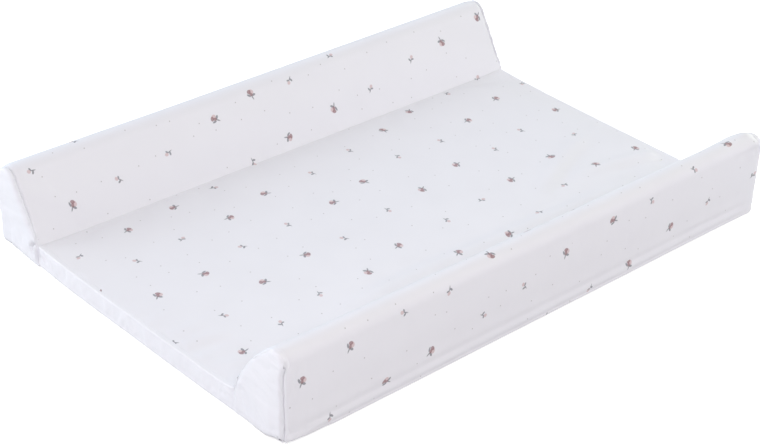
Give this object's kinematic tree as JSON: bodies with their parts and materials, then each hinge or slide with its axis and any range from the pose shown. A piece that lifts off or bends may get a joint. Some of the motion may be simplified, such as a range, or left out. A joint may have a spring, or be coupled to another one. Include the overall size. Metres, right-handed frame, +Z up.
{
  "type": "changing mat",
  "caption": "Wipe-clean baby changing mat: a flat padded lying surface between raised side wedges, in a welded white film cover with a small scattered print.",
  "frame": {"origin": "on the ground under the middle of the mat", "axes": "+Z up, +Y along the side wedges and the mat's length, +X across the mat towards the right-hand wedge"},
  "size_m": [0.4828, 0.7028, 0.0989],
  "materials": {
    "printed_film": "soft satin white film with a small scattered print",
    "plain_film": "soft satin plain white film",
    "base_film": "matt plain white film",
    "welt_film": "satin white welded edge",
    "fleece": "white polyester fleece",
    "foam": "open-cell foam, off-white"
  },
  "bodies": {
    "root": {"printed_top_panel": "printed_film", "bottom_panel": "base_film", "end_strip_front": "plain_film", "end_strip_back": "plain_film", "end_cap_left_front": "plain_film", "end_cap_right_front": "plain_film", "end_cap_left_back": "plain_film", "end_cap_right_back": "plain_film", "edge_welt_front": "welt_film", "edge_welt_back": "welt_film", "join_welt_left_front": "welt_film", "join_welt_right_front": "welt_film", "join_welt_left_back": "welt_film", "join_welt_right_back": "welt_film", "fleece_base_layer": "fleece", "fleece_wrap_left": "fleece", "fleece_wrap_right": "fleece", "foam_base_slab": "foam", "foam_wedge_left": "foam", "foam_wedge_right": "foam"}
  },
  "joints": []
}
